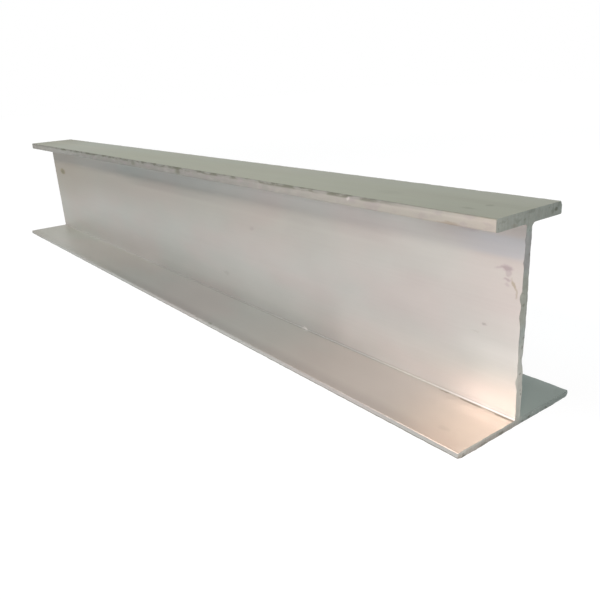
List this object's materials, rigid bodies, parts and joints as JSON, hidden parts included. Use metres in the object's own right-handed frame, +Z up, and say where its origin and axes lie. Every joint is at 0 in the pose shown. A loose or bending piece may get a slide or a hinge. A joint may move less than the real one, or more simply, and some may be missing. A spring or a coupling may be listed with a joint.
{
  "type": "aluminium i-beam",
  "caption": "Straight extruded aluminium I-section beam with a narrow thick top flange, a thin web and a wide thin bottom flange, used as a support beam.",
  "frame": {"origin": "middle of the bottom flange's underside, on the floor that the beam stands on", "axes": "+X along the beam, +Y across the flanges, +Z up from the wide flange to the narrow one"},
  "size_m": [1, 0.132, 0.16],
  "materials": {
    "mill_aluminium": "mill-finish extrusion, satin, with faint die lines, dull oxide, smudges and sawn ends"
  },
  "bodies": {
    "root": {"i_beam": "mill_aluminium"}
  },
  "joints": []
}
